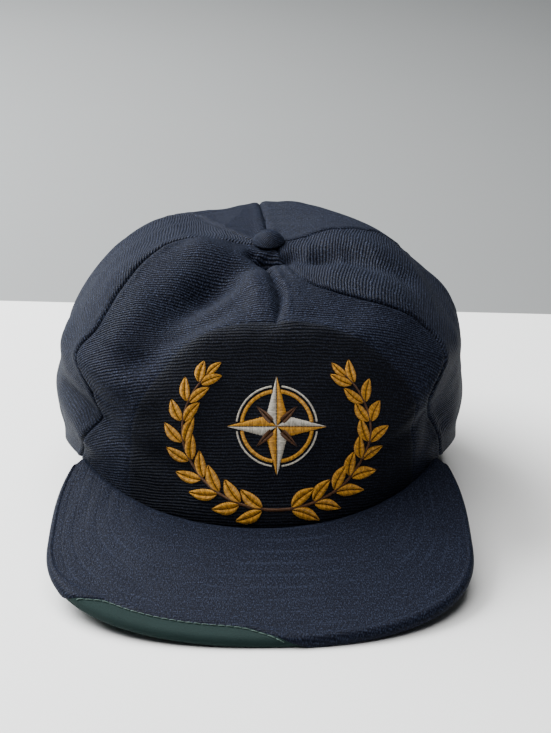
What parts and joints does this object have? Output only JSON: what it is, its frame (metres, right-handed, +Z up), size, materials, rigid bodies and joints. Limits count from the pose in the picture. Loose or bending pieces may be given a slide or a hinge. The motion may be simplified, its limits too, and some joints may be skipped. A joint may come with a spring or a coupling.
{
  "type": "snapback cap",
  "caption": "Flat-visored snapback cap with a high dented cloth crown, covered top button, coloured under-visor cloth and a plain snap strap across the half-moon opening at the back.",
  "frame": {"origin": "bottom centre of the whole cap's bounding box, on the surface it rests on", "axes": "+Z up from the surface, -Y the way the visor points, +X the wearer's left, which is the right side seen from the front"},
  "size_m": [0.1914, 0.2714, 0.1221],
  "materials": {
    "crown_knit": "ribbed knit, matt",
    "visor_cloth": "fine knit, matt",
    "under_visor_cloth": "smooth woven cloth",
    "band_cloth": "plain woven cloth",
    "strap_plastic": "moulded, satin"
  },
  "bodies": {
    "root": {"front_panel": "crown_knit", "left_side_panel": "crown_knit", "right_side_panel": "crown_knit", "left_back_panel": "crown_knit", "right_back_panel": "crown_knit", "top_button": "crown_knit", "visor_top_cloth": "visor_cloth", "visor_under_cloth": "under_visor_cloth", "sweatband": "band_cloth", "snap_strap": "strap_plastic"}
  },
  "joints": []
}
